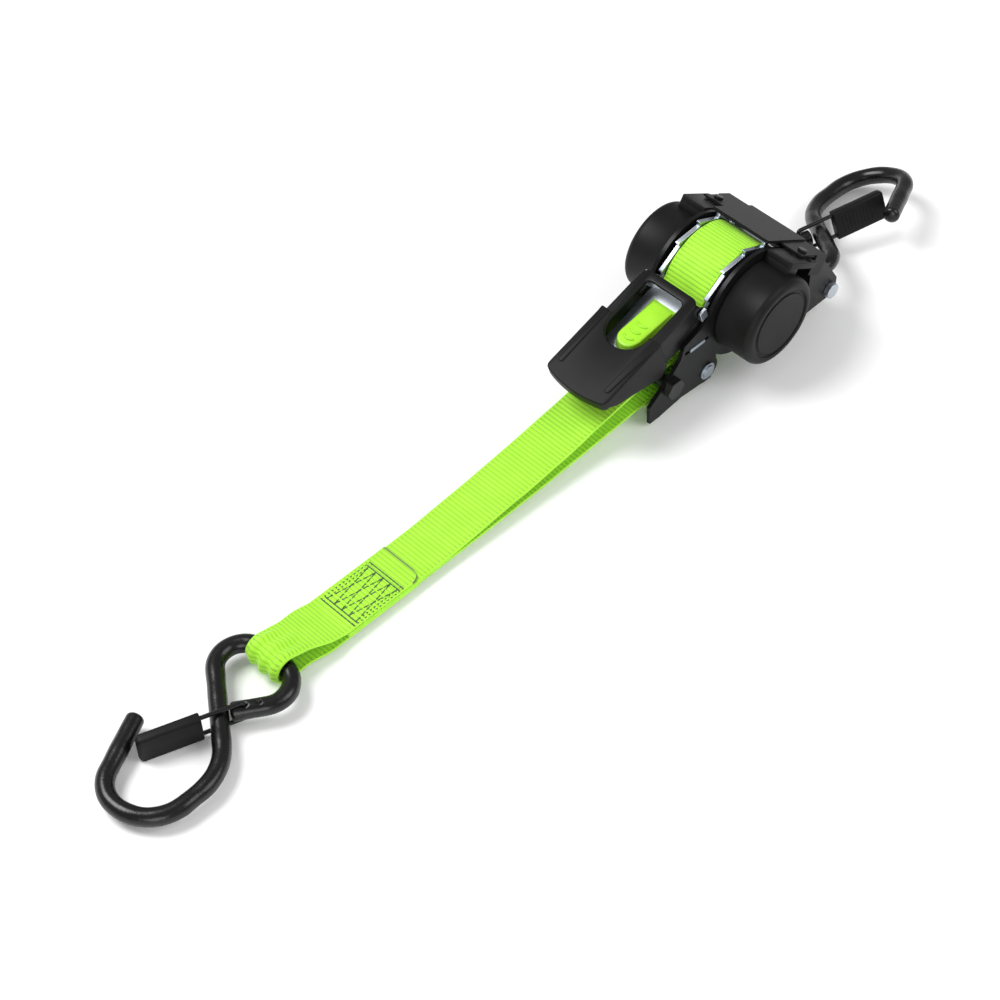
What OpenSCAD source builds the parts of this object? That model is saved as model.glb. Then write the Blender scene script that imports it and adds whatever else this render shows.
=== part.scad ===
// Self-retracting ratchet strap with two S-hooks. Millimetres.
// X runs along the strap (rear hook at +X), Y across it, Z up. The base rests on Z = 0.

/* [Webbing] */
// Width of the webbing
web_w = 25; // [20:0.5:38]
// Thickness of one layer of webbing
web_t = 1.3; // [1:0.1:2.5]
// Outside radius of the webbing wound on the drum
coil_r = 25.4; // [20:0.1:27]

/* [Hooks] */
// Radius of the coated hook rod
rod_r = 4.2; // [3:0.1:6]
// Bend radius of the closed eye
eye_bend_r = 12; // [9:0.5:16]
// Straight length of the bar that closes the eye
eye_bar = 13; // [8:1:30]
// Bend radius where the shank runs into the bow
bow_shank_r = 27.5; // [14:0.5:34]
// Bend radius at the bottom of the bow
bow_low_r = 20.5; // [12:0.5:26]
// Bend radius below the tip
bow_tip_r = 16; // [8:0.5:22]
// Straight length of the tip
tip_len = 23.5; // [15:0.5:40]
// Sideways lean of the rear hook on its pin, degrees
rear_lean = 24; // [0:0.5:45]

/* [Keepers] */
// Radius of the keeper wire
wire_r = 1; // [0.6:0.1:1.6]
// Length of the moulded sleeve
sleeve_len = 28.5; // [18:0.5:36]
// Width of the moulded sleeve
sleeve_w = 15; // [12:0.5:20]
// Thickness of the moulded sleeve
sleeve_t = 5; // [4:0.25:8]

/* [Drum] */
// Radius of the drum axle
axle_r = 5; // [4:0.25:8]
// Tip radius of the ratchet wheels
wheel_tip_r = 29.5; // [26:0.5:34]
// Root radius of the ratchet wheels
wheel_root_r = 27; // [24:0.5:32]
// Number of teeth of a ratchet wheel
teeth = 12; // [9:1:18]
// Radius of a spring housing
house_r = 23.1; // [18:0.1:30]
// Outer face of a spring housing from the middle
house_y = 39.8; // [30:0.1:50]

/* [Handle] */
// Downward slope of the closed handle, degrees
handle_slope = 17.8; // [0:0.1:30]
// Height of the handle's top plate above the axle
top_n = 30.5; // [28:0.1:36]
// Distance of the cross bar's free edge from the axle
bar_s = 24.6; // [22:0.1:30]
// Distance of the end of the grip from the axle
grip_end = 95; // [80:0.5:120]

/* [Frame] */
// Inner face of a side plate from the middle
plate_y = 17.1; // [16:0.1:20]
// Thickness of a side plate
plate_t = 2; // [1.5:0.1:3]
// Radius of the rear hook's cross pin
pin_r = 2.5; // [2:0.1:3.5]

/* [Hidden] */
$fn = 72;
ground = -34.1;
rear_slope = 57.9;
shank_a = 143;
shank_len = 39.4;
tip_a = 116;
tip_rise = 0.6;
bow_flat = 7.6;
front_bar_x = -283.8;
front_bar_z = ground + web_t / 2 + 6.65;
front_eye_y = -0.9;
front_drop = 1.75;
rear_bar_x = 42.3;
rear_bar_y = -5.8;
rear_bar_z = -18.3;
pin_x = rear_bar_x + 7.2;
pin_z = rear_bar_z;
guide_x = -52.2;
guide_z = -18;
anchor_x = -26.3;
anchor_z = -26.6;
patch_x0 = -206.8;
patch_x1 = -251;
clear = 0.05;
lap = 0.6;
bar_half = 10.2;
swell = 0.08;
nose_s = 23.45;
pawl_n = 18.6;
pawl_t = 1.8;
keeper_a = 158.8;
pivot_back = 9.5;
screw_t = 15;
screw_y = 26;
pawl_x = -40;

// Key points of the hook's centreline, from the middle of the eye's bar.
top_c = [-eye_bend_r, eye_bar / 2];
low_c = [-eye_bend_r, -eye_bar / 2];
shank_top = top_c + eye_bend_r * [cos(shank_a), sin(shank_a)];
shank_low = shank_top + shank_len * [cos(shank_a + 90), sin(shank_a + 90)];
bow_c = shank_low + bow_shank_r * [cos(shank_a), sin(shank_a)];
bow_b = [bow_c[0] - bow_flat, bow_c[1] - bow_shank_r + bow_low_r];
bow_d = [bow_b[0] - bow_low_r + bow_tip_r, bow_b[1] + tip_rise];
tip_at = bow_d + bow_tip_r * [cos(tip_a), sin(tip_a)];
end_a = -124;
end_at = low_c + eye_bend_r * [cos(end_a), sin(end_a)];
end_dir = [sin(end_a), -cos(end_a)];
pivot_at = end_at + pivot_back * end_dir;
reach = -(bow_b[0] - bow_low_r);
x_high = rear_bar_x + reach + rod_r + swell;
x_low = front_bar_x - reach * cos(front_drop) - rod_r - swell;
mid_x = (x_high + x_low) / 2;

// Moves the drum-centred frame to the base of the whole strap.
module placed() {
  translate([-mid_x, 0, -ground]) children();
}

// Extrudes an X-Z outline across Y, centred on y.
module across(y, w) {
  translate([0, y + w / 2, 0]) rotate([90, 0, 0]) linear_extrude(w) children();
}

// Frame of the closed handle: -X along the grip, Z away from the axle.
module in_handle() {
  rotate([0, -handle_slope, 0]) children();
}

// Frame of the rear cover: X down to the rear, Z away from the axle.
module in_rear() {
  rotate([0, 90 - rear_slope, 0]) children();
}

module y_rod(x, z, r, y0, y1) {
  translate([x, y0, z]) rotate([-90, 0, 0]) cylinder(r = r, h = y1 - y0);
}

function arc_pts(c, r, a0, a1, n) =
  [for (i = [0 : n]) [c[0] + r * cos(a0 + (a1 - a0) * i / n), c[1] + r * sin(a0 + (a1 - a0) * i / n)]];

function side_dir(p, i) =
  let (a = p[max(i - 1, 0)], b = p[min(i + 1, len(p) - 1)], d = b - a) [-d[1], d[0]] / norm(d);

// A band of even thickness t along the points p.
module ribbon(p, t) {
  polygon(concat(
    [for (i = [0 : len(p) - 1]) p[i] + side_dir(p, i) * t / 2],
    [for (i = [len(p) - 1 : -1 : 0]) p[i] - side_dir(p, i) * t / 2]));
}

// ---- S-hook ----
// A straight of the rod, run a little way into the slightly thicker bends at its ends.
module rod(a, b) {
  d = b - a;
  translate([a[0], a[1], 0]) rotate([0, 0, atan2(d[1], d[0])]) rotate([0, 90, 0])
    translate([0, 0, -lap]) cylinder(r = rod_r, h = norm(d) + 2 * lap);
}

module bend(c, r, a0, a1) {
  translate([c[0], c[1], 0]) rotate([0, 0, a0]) rotate_extrude(angle = a1 - a0)
    translate([r, 0]) circle(rod_r + swell);
}

module s_hook() {
  rod_end = end_at + 15.3 * end_dir;
  tip_end = tip_at + tip_len * [cos(tip_a - 90), sin(tip_a - 90)];
  difference() {
    union() {
      rod([0, eye_bar / 2], [0, -eye_bar / 2]);
      bend(top_c, eye_bend_r, 0, shank_a);
      bend(low_c, eye_bend_r, end_a, 0);
      rod(end_at, rod_end);
      rod(shank_top, shank_low);
      bend(bow_c, bow_shank_r, 270, 360 + shank_a - 180);
      rod([bow_c[0], bow_c[1] - bow_shank_r], [bow_b[0], bow_b[1] - bow_low_r]);
      bend(bow_b, bow_low_r, 180, 270);
      rod([bow_b[0] - bow_low_r, bow_b[1]], [bow_d[0] - bow_tip_r, bow_d[1]]);
      bend(bow_d, bow_tip_r, tip_a, 180);
      rod(tip_at, tip_end);
      translate([tip_end[0], tip_end[1], 0]) sphere(rod_r + swell);
    }
    for (s = [-1, 1]) translate([pivot_at[0], pivot_at[1], s * 3.6])
      cylinder(r = wire_r + clear, h = 2.6, center = true);
  }
}

// Frame of a keeper: X towards its free end, Z along its pivot.
module in_keeper() {
  translate([pivot_at[0], pivot_at[1], 0]) rotate([0, 0, keeper_a]) children();
}

leg_z = rod_r + wire_r + 0.4;
leg_end = 29;
module keeper_wire() {
  in_keeper() {
    for (s = [-1, 1]) {
      translate([0, 0, s * leg_z]) rotate([0, 90, 0]) cylinder(r = wire_r, h = leg_end);
      translate([0, 0, s > 0 ? 2.5 : -leg_z]) cylinder(r = wire_r, h = leg_z - 2.5);
      translate([0, 0, s * leg_z]) sphere(wire_r);
      translate([leg_end, 0, s * leg_z]) sphere(wire_r);
    }
    translate([leg_end, 0, -leg_z]) cylinder(r = wire_r, h = 2 * leg_z);
  }
}

module keeper_sleeve() {
  x0 = 19.5;
  cut = wire_r + clear;
  in_keeper() difference() {
    union() {
      translate([x0, -sleeve_t / 2, -sleeve_w / 2]) cube([sleeve_len - sleeve_t / 2, sleeve_t, sleeve_w]);
      translate([x0 + sleeve_len - sleeve_t / 2, 0, 0])
        cylinder(r = sleeve_t / 2, h = sleeve_w, center = true);
      for (i = [0 : 6])
        translate([x0 + 5 + 2.2 * i, -sleeve_t / 2, 0]) cube([0.9, 0.5, sleeve_w - 5], center = true);
    }
    for (s = [-1, 1]) translate([x0 - 1, 0, s * leg_z]) rotate([0, 90, 0])
      cylinder(r = cut, h = leg_end - x0 + 1);
    translate([leg_end, 0, 0]) cylinder(r = cut, h = 2 * leg_z, center = true);
    for (s = [-1, 1]) translate([leg_end, 0, s * leg_z]) sphere(cut);
  }
}

module at_front() {
  translate([front_bar_x, front_eye_y, front_bar_z]) rotate([0, -front_drop, 0]) children();
}

module at_rear() {
  translate([rear_bar_x, rear_bar_y, rear_bar_z]) rotate([rear_lean, 0, 180]) children();
}

module front_hook() { color("#101112") placed() at_front() s_hook(); }
module front_keeper_wire() { color("#141414") placed() at_front() keeper_wire(); }
module front_keeper_sleeve() { color("#151515") placed() at_front() keeper_sleeve(); }
module rear_hook() { color("#101112") placed() at_rear() s_hook(); }
module rear_keeper_wire() { color("#141414") placed() at_rear() keeper_wire(); }
module rear_keeper_sleeve() { color("#151515") placed() at_rear() keeper_sleeve(); }

// ---- Frame ----
module plate_outline() {
  difference() {
    union() {
      circle(28.4);
      polygon([[-24, 14], [-33, 5.5], [-44, 1.5], [-46, -5.5], [-50.6, -10.6], [-66.2, -23.2],
        [-65.4, ground], [-60, ground], [-43.4, -32.2], [-22.6, ground], [-20, -20]]);
      translate([anchor_x, anchor_z]) circle(-ground + anchor_z);
      polygon([[10, 26], [35, 12], [35, -24], [22, -26], [0, -28]]);
    }
    circle(axle_r + 0.06);
    translate([anchor_x, anchor_z]) circle(3.05);
    translate([guide_x, guide_z]) circle(3.05);
    translate([-43.2, -4.75]) square([16, 2.1]);
  }
}

module frame_plate(s) {
  flare_y = 27.6;
  across(s * (plate_y + plate_t / 2), plate_t) plate_outline();
  // Jog and flared lug that reach out to the cross pin.
  translate([33, s > 0 ? plate_y : -flare_y - plate_t, -24]) cube([2, flare_y + plate_t - plate_y, 36]);
  across(s * (flare_y + plate_t / 2), plate_t) difference() {
    union() {
      polygon([[33, 12], [42, 6.5], [pin_x + 5.5, pin_z + 4], [pin_x + 5.5, pin_z], [pin_x, pin_z - 5.5],
        [33, -24]]);
      translate([pin_x, pin_z]) circle(5.5);
    }
    translate([pin_x, pin_z]) circle(pin_r + 0.04);
  }
}

module frame_plate_left() { color("#17181a") placed() frame_plate(1); }
module frame_plate_right() { color("#17181a") placed() frame_plate(-1); }

module rear_cover() {
  color("#151617") placed() in_rear() {
    // Middle roof, its rear lip and the two lower side steps.
    translate([-2.7, -plate_y + 0.2, 29.8]) cube([34.6, 2 * plate_y - 0.4, 1.6]);
    translate([29.8, -plate_y + 0.2, 22]) cube([2.1, 2 * plate_y - 0.4, 8]);
    for (s = [-1, 1]) {
      difference() {
        translate([9, s > 0 ? plate_y - 0.3 : -30, 29.3]) cube([22.9, 30.3 - plate_y, 1.2]);
        translate([screw_t, s * screw_y, 28]) cylinder(r = 1.25, h = 4);
      }
      translate([22, s > 0 ? 29.8 : -30.8, 20]) cube([9.9, 1, 10.5]);
    }
  }
}

module hook_pin() {
  color("#8d9196") placed() {
    y_rod(pin_x, pin_z, pin_r, -31.8, 31.8);
    y_rod(pin_x, pin_z, pin_r + 1.6, -32.6, -29.65);
  }
}

module pin_rings() {
  color("#8d9196") placed() for (y = [29.7]) difference() {
    y_rod(pin_x, pin_z, pin_r + 1.8, y, y + 1);
    y_rod(pin_x, pin_z, pin_r + 0.03, y - 1, y + 2);
  }
}

module guide_bolt() {
  color("#131313") placed() {
    y_rod(guide_x, guide_z, 3, -19.2, 23.6);
    across(-21.1, 3.8) translate([guide_x, guide_z]) circle(5.6, $fn = 6);
    y_rod(guide_x, guide_z, 3.5, -plate_y + 0.1, plate_y - 0.1);
  }
}

module guide_nut() {
  color("#131313") placed() across(21.2, 4) translate([guide_x, guide_z]) difference() {
    circle(5.6, $fn = 6);
    circle(3.04);
  }
}

module anchor_rivet() {
  out = plate_y + plate_t;
  color("#a9adb2") placed() {
    y_rod(anchor_x, anchor_z, 3, -out - 0.1, out + 0.1);
    y_rod(anchor_x, anchor_z, 3.4, -plate_y + 0.1, plate_y - 0.1);
    for (s = [-1, 1]) {
      y_rod(anchor_x, anchor_z, 4.6, s > 0 ? out + 0.03 : -out - 1.03, s > 0 ? out + 1.03 : -out - 0.03);
      y_rod(anchor_x, anchor_z, 3.4, s > 0 ? out + 1 : -out - 1.8, s > 0 ? out + 1.8 : -out - 1);
    }
  }
}

// ---- Spring housings ----
house_in = 19.3;
module house_body() {
  edge = 3.3;
  len = house_y - house_in;
  rotate_extrude() difference() {
    union() {
      square([house_r, len - edge]);
      square([house_r - edge, len]);
      translate([house_r - edge, len - edge]) circle(edge);
    }
    translate([0, -1]) square([house_r - 1.8, len - 1.6]);
    translate([16.6, len - 0.7]) square([1.6, 2]);
    translate([-50, -50]) square([50, 100]);
  }
}

module housing(s) {
  translate([0, s * house_in, 0]) rotate([s > 0 ? -90 : 90, 0, 0]) house_body();
  // Flat lug that screws under the side step of the rear cover.
  in_rear() difference() {
    union() {
      translate([-5, s > 0 ? house_in + 0.2 : -34, 25.6]) cube([24, 34 - house_in - 0.2, 3.4]);
      translate([-5, s > 0 ? house_in + 0.2 : -34, 22.4]) cube([9, 34 - house_in - 0.2, 4]);
    }
    for (t = [7.5, screw_t]) translate([t, s * screw_y, 20]) cylinder(r = 1.25, h = 12);
    translate([13, s * 31.8, 20]) cylinder(r = 1.5, h = 12);
  }
}

module housing_left() { color("#161718") placed() housing(1); }
module housing_right() { color("#161718") placed() housing(-1); }

module housing_screws() {
  color("#202122") placed() in_rear() for (s = [-1, 1]) translate([screw_t, s * screw_y, 0]) {
    translate([0, 0, 24.4]) cylinder(r = 1.2, h = 6.2);
    translate([0, 0, 30.55]) cylinder(r = 2.3, h = 1.2);
  }
}

function spiral_pts(r0, r1, turns, n) =
  [for (i = [0 : n]) let (f = i / n, a = 360 * turns * f, r = r0 + (r1 - r0) * f) [r * cos(a), r * sin(a)]];

module spiral_spring(s) {
  across(s * 27, 9) ribbon(spiral_pts(axle_r + 0.9, house_r - 2.6, 7, 168), 0.5);
}

module spring_left() { color("#5d6166") placed() spiral_spring(1); }
module spring_right() { color("#5d6166") placed() spiral_spring(-1); }

// ---- Drum ----
module drum_axle() {
  color("#9a9ea3") placed() difference() {
    union() {
      y_rod(0, 0, axle_r, -33, 33);
      y_rod(0, 0, 7.5, -12.7, 12.7);
    }
    translate([-8, -12.7, -1]) cube([16, 25.4, 2]);
  }
}

function tooth_pts(k) =
  [wheel_root_r * [cos(360 * k / teeth), sin(360 * k / teeth)],
   wheel_tip_r * [cos(360 * (k + 0.94) / teeth), sin(360 * (k + 0.94) / teeth)],
   wheel_tip_r * [cos(360 * (k + 1) / teeth), sin(360 * (k + 1) / teeth)]];

module ratchet_wheel(s) {
  across(s * 13.95, 2.1) difference() {
    polygon([for (k = [0 : teeth - 1]) each tooth_pts(k)]);
    circle(axle_r + 0.03);
  }
}

module ratchet_wheel_left() { color("#b9bdc2") placed() ratchet_wheel(1); }
module ratchet_wheel_right() { color("#b9bdc2") placed() ratchet_wheel(-1); }

module webbing_coil() {
  color("#b6f22e") placed() across(0, web_w) difference() {
    circle(coil_r);
    circle(7.55);
  }
}

// ---- Webbing legs ----
turn_r = coil_r + 0.3 + web_t / 2;
drop_r = 14;
drop_c = [-turn_r - drop_r, 0.2];
over_z = drop_c[1] - drop_r;
lay = [for (i = [0 : 3]) ground + web_t * (i + 0.5)];

upper_path = concat(
  arc_pts([0, 0], turn_r, -40, 179, 60),
  arc_pts(drop_c, drop_r, 0, -88, 24),
  [[-46, over_z], [guide_x, over_z + 0.1]],
  [[-57, over_z - 0.1], [-70, over_z - 1.8], [-90, over_z - 5.2], [-115, over_z - 9.4]],
  [[-140, over_z - 12.4], [-165, over_z - 14.6], [-190, lay[2] + 0.25]],
  [[patch_x0, lay[2]], [patch_x1, lay[2]]]);

module upper_leg() { color("#b6f22e") placed() across(0, web_w) ribbon(upper_path, web_t); }

anchor_turn = 3.7 + web_t / 2;
lower_path = concat(
  [[-62, anchor_z - 2.8], [-45, anchor_z - 3.8]],
  arc_pts([anchor_x, anchor_z], anchor_turn, -92, 98, 20),
  [[-45, anchor_z + 0.6], [-62, anchor_z - 1.4], [-95, -29.8], [-130, -31.4], [-165, lay[1] + 0.1]],
  [[patch_x0, lay[1]], [patch_x1, lay[1]]]);

module lower_leg() { color("#aeea2c") placed() across(0, web_w) ribbon(lower_path, web_t); }

loop_path = concat(
  [[patch_x0 - 2, lay[0]], [front_bar_x + 6, lay[0]]],
  arc_pts([front_bar_x, front_bar_z], 6.65, 270, 78, 24),
  [[patch_x1 - 8, lay[3] + 2.1], [patch_x1 - 1, lay[3] + 0.15], [patch_x0, lay[3]]]);

// The webbing gathers to a narrower band where it passes round the hook's bar.
module hook_loop() {
  full = web_w / 2 - 0.3;
  color("#b6f22e") placed() intersection() {
    across(0, 2 * full) ribbon(loop_path, web_t);
    translate([0, 0, ground - 1]) linear_extrude(30) polygon([[patch_x0 + 5, -full - 1],
      [patch_x1 - 8, -full - 1], [patch_x1 - 20, -bar_half], [front_bar_x - 10, -bar_half],
      [front_bar_x - 10, bar_half], [patch_x1 - 20, bar_half], [patch_x1 - 8, full + 1],
      [patch_x0 + 5, full + 1]]);
  }
}

// ---- Handle ----
wall_y = 15.3;
wall_t = 1.5;
module handle_outline() {
  difference() {
    union() {
      circle(18);
      polygon([[-84, top_n], [-bar_s, top_n], [-bar_s, 24.5], [-14, 11], [-6, 16], [6, -16], [-14, -12],
        [-28, 7.5], [-29.5, 8.8], [-44, 12.8], [-58, 13.5], [-84, 25]]);
    }
    circle(axle_r + 0.06);
    translate([-33, pawl_n - 0.15]) square([33 - nose_s + 0.3, pawl_t + 0.3]);
  }
}

module window(r, n0, n1) {
  s0 = 29.4;
  s1 = 66;
  translate([-s1 + r, -r, n0]) cube([s1 - r - s0, 2 * r, n1 - n0]);
  translate([-s1 + r, 0, n0]) cylinder(r = r, h = n1 - n0);
}

module handle_frame() {
  color("#18191b") placed() in_handle() {
    for (s = [-1, 1]) across(s * (wall_y + wall_t / 2), wall_t) handle_outline();
    difference() {
      translate([-84, -wall_y - wall_t, top_n - 1.8]) cube([84 - bar_s, 2 * (wall_y + wall_t), 1.8]);
      window(11.3, top_n - 3, top_n + 1);
    }
  }
}

grip_y = 18.4;
module grip_plan() {
  intersection() {
    translate([-grip_end, -grip_y]) square([grip_end - 53, 2 * grip_y]);
    translate([-grip_end + 60, 0]) circle(60);
  }
}

module handle_grip() {
  color("#141516") placed() in_handle() difference() {
    intersection() {
      translate([0, 0, 5]) linear_extrude(30) grip_plan();
      across(0, 60) polygon([[-grip_end, 25.5], [-grip_end, 31.8], [-94, 32.3], [-53, 32.3], [-53, 13.5],
        [-58, 9.6], [-86, 23]]);
    }
    translate([-84.1, -wall_y - wall_t - 0.1, 0]) cube([84.1, 2 * (wall_y + wall_t) + 0.2, top_n + 0.05]);
    window(11.3, top_n - 3, top_n + 4);
  }
}

module handle_pawl() {
  hole_y = 12.3;
  ear_y = 18.7;
  color("#aeb6bf") placed() in_handle() {
    translate([-66, -hole_y, pawl_n]) cube([66 - nose_s, 2 * hole_y, pawl_t]);
    translate([-nose_s - 4.4, -ear_y, pawl_n]) cube([4.4, 2 * ear_y, pawl_t]);
    for (s = [-1, 1]) translate([-nose_s - 4.4, s > 0 ? ear_y - 1.4 : -ear_y, pawl_n])
      cube([4.4, 1.4, 6.2]);
  }
}

module release_button() {
  r = 7.3;
  n0 = pawl_n + pawl_t + 0.02;
  color("#b4f03a") placed() in_handle() intersection() {
    union() {
      translate([-63 + r, -r, n0]) cube([63 - r - 32, 2 * r, 8]);
      translate([-63 + r, 0, n0]) cylinder(r = r, h = 8);
    }
    across(0, 20) polygon([[-70, n0], [-70, 26.2], [-60, 26.6], [-33, 21.8], [-32, 21], [-32, n0]]);
  }
}

// Envelope of a compression spring along X.
module coil_spring(r, wire, len) {
  rotate([0, -90, 0]) difference() {
    cylinder(r = r + wire, h = len);
    translate([0, 0, -1]) cylinder(r = r - wire, h = len + 2);
  }
}

module pawl_spring() {
  color("#8f9499") placed() in_handle() translate([-66.1, 0, pawl_n + 1.6]) coil_spring(2.4, 0.5, 13);
}

module frame_pawl() {
  half = plate_y + plate_t + 0.6;
  color("#aeb6bf") placed() {
    translate([pawl_x, -half, -4.6]) cube([-30 - pawl_x, 2 * half, 1.8]);
    translate([-30, -15, -4.6]) cube([0.5, 2.1, 1.8]);
    translate([-30, 12.9, -4.6]) cube([0.5, 2.1, 1.8]);
  }
}

module frame_pawl_spring() {
  color("#8f9499") placed() translate([pawl_x - 0.1, 0, -3.7]) coil_spring(2, 0.45, 6);
}

frame_plate_left();
frame_plate_right();
rear_cover();
hook_pin();
pin_rings();
guide_bolt();
guide_nut();
anchor_rivet();
housing_left();
housing_right();
housing_screws();
spring_left();
spring_right();
drum_axle();
ratchet_wheel_left();
ratchet_wheel_right();
webbing_coil();
upper_leg();
lower_leg();
hook_loop();
handle_frame();
handle_grip();
handle_pawl();
release_button();
pawl_spring();
frame_pawl();
frame_pawl_spring();
front_hook();
front_keeper_wire();
front_keeper_sleeve();
rear_hook();
rear_keeper_wire();
rear_keeper_sleeve();
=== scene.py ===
"""Self-retracting ratchet strap with an S-hook at each end, dressed for a studio view."""

import logging
import math
from dataclasses import dataclass, field
from enum import Enum

import bmesh
import bpy
import numpy as np
from mathutils import Euler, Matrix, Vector
from mathutils.geometry import tessellate_polygon


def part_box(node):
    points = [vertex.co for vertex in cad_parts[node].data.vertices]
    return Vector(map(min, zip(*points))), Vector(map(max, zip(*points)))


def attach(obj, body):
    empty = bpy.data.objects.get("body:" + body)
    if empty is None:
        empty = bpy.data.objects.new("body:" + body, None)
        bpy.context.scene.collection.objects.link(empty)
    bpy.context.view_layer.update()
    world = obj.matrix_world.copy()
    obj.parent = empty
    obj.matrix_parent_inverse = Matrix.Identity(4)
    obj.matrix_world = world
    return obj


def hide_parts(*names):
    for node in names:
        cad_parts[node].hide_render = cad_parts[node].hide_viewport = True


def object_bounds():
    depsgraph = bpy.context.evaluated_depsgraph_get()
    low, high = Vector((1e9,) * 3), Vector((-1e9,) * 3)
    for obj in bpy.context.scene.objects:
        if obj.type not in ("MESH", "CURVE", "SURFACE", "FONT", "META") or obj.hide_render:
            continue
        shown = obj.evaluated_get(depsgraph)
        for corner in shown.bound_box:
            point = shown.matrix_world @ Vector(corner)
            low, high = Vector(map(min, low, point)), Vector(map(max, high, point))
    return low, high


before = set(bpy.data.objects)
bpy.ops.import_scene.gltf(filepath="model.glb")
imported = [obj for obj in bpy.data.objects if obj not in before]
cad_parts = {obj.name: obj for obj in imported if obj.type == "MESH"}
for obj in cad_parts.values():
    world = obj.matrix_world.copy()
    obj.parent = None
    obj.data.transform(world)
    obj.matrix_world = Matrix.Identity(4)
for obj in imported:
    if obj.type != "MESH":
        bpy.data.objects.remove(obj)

LOG = logging.getLogger("strap")
MM = 0.001
CAD_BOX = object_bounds()
DRUM = np.array([(lo + hi) / 2 for lo, hi in zip(*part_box("webbing_coil"))])
GROUND = -DRUM[2] / MM
Array = np.ndarray
Socket = bpy.types.NodeSocket


# ---- Finishes
class Slot(Enum):
    """Names of material slots."""

    STEEL = "black_steel"
    PLASTIC = "black_plastic"
    ROD = "coated_rod"
    WIRE = "keeper_wire"
    ZINC = "zinc_steel"
    BOLT = "black_bolt"
    SPRING = "spring_steel"
    WEBBING = "webbing"
    LIME = "lime_plastic"


def linear(red: float, green: float, blue: float) -> tuple[float, float, float, float]:
    """A colour on the 0 to 255 display scale as linear light.

    Args:
        red: display red.
        green: display green.
        blue: display blue.

    Returns:
        Linear red, green and blue, and a solid alpha.
    """
    return (*[((c / 255 + 0.055) / 1.055) ** 2.4 if c > 10 else c / 3295 for c in (red, green, blue)], 1.0)


def grey(level: float) -> tuple[float, float, float, float]:
    """A neutral grey on the 0 to 255 display scale as linear light."""
    return linear(level, level, level)


class Nodes:
    """A short way to lay out one material's nodes."""

    def __init__(self, name: str) -> None:
        """Starts an empty material with a Principled shader.

        Args:
            name: the material's name.
        """
        self.material = bpy.data.materials.new(name)
        self.material.use_nodes = True
        self.tree = self.material.node_tree
        self.shader = self.tree.nodes["Principled BSDF"]

    def add(self, kind: str, **values: object) -> bpy.types.Node:
        """Adds a node.

        Args:
            kind: the node's type name.
            values: its settings, by the names that settle takes.

        Returns:
            The new node.
        """
        node = self.tree.nodes.new(kind)
        self.settle(node, **values)
        return node

    @staticmethod
    def settle(node: bpy.types.Node, **values: object) -> None:
        """Sets a node's values.

        Args:
            node: the node.
            values: settings by attribute name, or by socket name where the node has no such attribute.
        """
        for key, value in values.items():
            if hasattr(node, key):
                setattr(node, key, value)
            else:
                node.inputs[key.replace("_", " ")].default_value = value

    def link(self, out: Socket, into: Socket) -> None:
        """Joins an output to an input."""
        self.tree.links.new(out, into)

    def feed(self, value: Socket, into: str, kind: str, out: str, **values: object) -> Socket:
        """Passes a value through a new node.

        Args:
            value: what the node reads.
            into: name of the input that reads it.
            kind: the node's type name.
            out: name of the output.
            values: the node's settings.

        Returns:
            That output.
        """
        node = self.add(kind, **values)
        self.link(value, node.inputs[into])
        return node.outputs[out]

    def noise(self, where: Socket, scale: float, detail: float = 3.0) -> Socket:
        """Noise of about so many cells in a metre."""
        grain = {"Scale": scale, "Detail": detail, "Roughness": 0.55}
        return self.feed(where, "Vector", "ShaderNodeTexNoise", "Fac", **grain)

    def spread(self, value: Socket, low: float, high: float) -> Socket:
        """A 0 to 1 value mapped to a range from low to high."""
        return self.feed(value, "Value", "ShaderNodeMapRange", "Result", To_Min=low, To_Max=high)

    def ramp(self, value: Socket, low: tuple, high: tuple, start: float, end: float) -> Socket:
        """Turns a value into a colour between two.

        Args:
            value: what is read.
            low: colour at start.
            high: colour at end.
            start: value that gives low.
            end: value that gives high.

        Returns:
            The colour.
        """
        node = self.add("ShaderNodeValToRGB")
        first, last = node.color_ramp.elements
        first.position, first.color = start, low
        last.position, last.color = end, high
        self.link(value, node.inputs["Fac"])
        return node.outputs["Color"]

    def bump(self, height: Socket, strength: float, depth: float, under: Socket | None = None) -> Socket:
        """Roughens the surface.

        Args:
            height: the height map.
            strength: from 0 to 1.
            depth: metres between the lowest and highest point.
            under: a normal from another bump, or None.

        Returns:
            The new normal.
        """
        node = self.add("ShaderNodeBump", Strength=strength, Distance=depth)
        self.link(height, node.inputs["Height"])
        if under is not None:
            self.link(under, node.inputs["Normal"])
        return node.outputs["Normal"]


@dataclass(frozen=True)
class Finish:
    """A hard finish whose colour, gloss and relief vary over the piece.

    Broad patches, cell to a metre, run from dark to light. Fine grain, grain to a metre, sets the roughness
    and stands relief metres high. Swell is the height of a slower unevenness.
    """

    name: str
    slot: Slot | None
    dark: tuple
    light: tuple
    rough: tuple[float, float]
    cell: float
    grain: float
    relief: float
    metallic: float = 0.0
    swell: float = 0.0
    shine: float = 0.5

    def make(self) -> bpy.types.Material:
        """Builds the material.

        Returns:
            The material.
        """
        n = Nodes(self.name)
        here = n.add("ShaderNodeTexCoord").outputs["Object"]
        patch, fine = n.noise(here, self.cell), n.noise(here, self.grain, 4)
        n.link(n.ramp(patch, self.dark, self.light, 0.35, 0.7), n.shader.inputs["Base Color"])
        n.link(n.spread(fine, *self.rough), n.shader.inputs["Roughness"])
        normal = n.bump(fine, 0.5, self.relief)
        if self.swell:
            normal = n.bump(n.noise(here, self.grain / 5, 2), 0.6, self.swell, normal)
        n.link(normal, n.shader.inputs["Normal"])
        n.settle(n.shader, Metallic=self.metallic, Specular_IOR_Level=self.shine)
        return n.material


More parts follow.
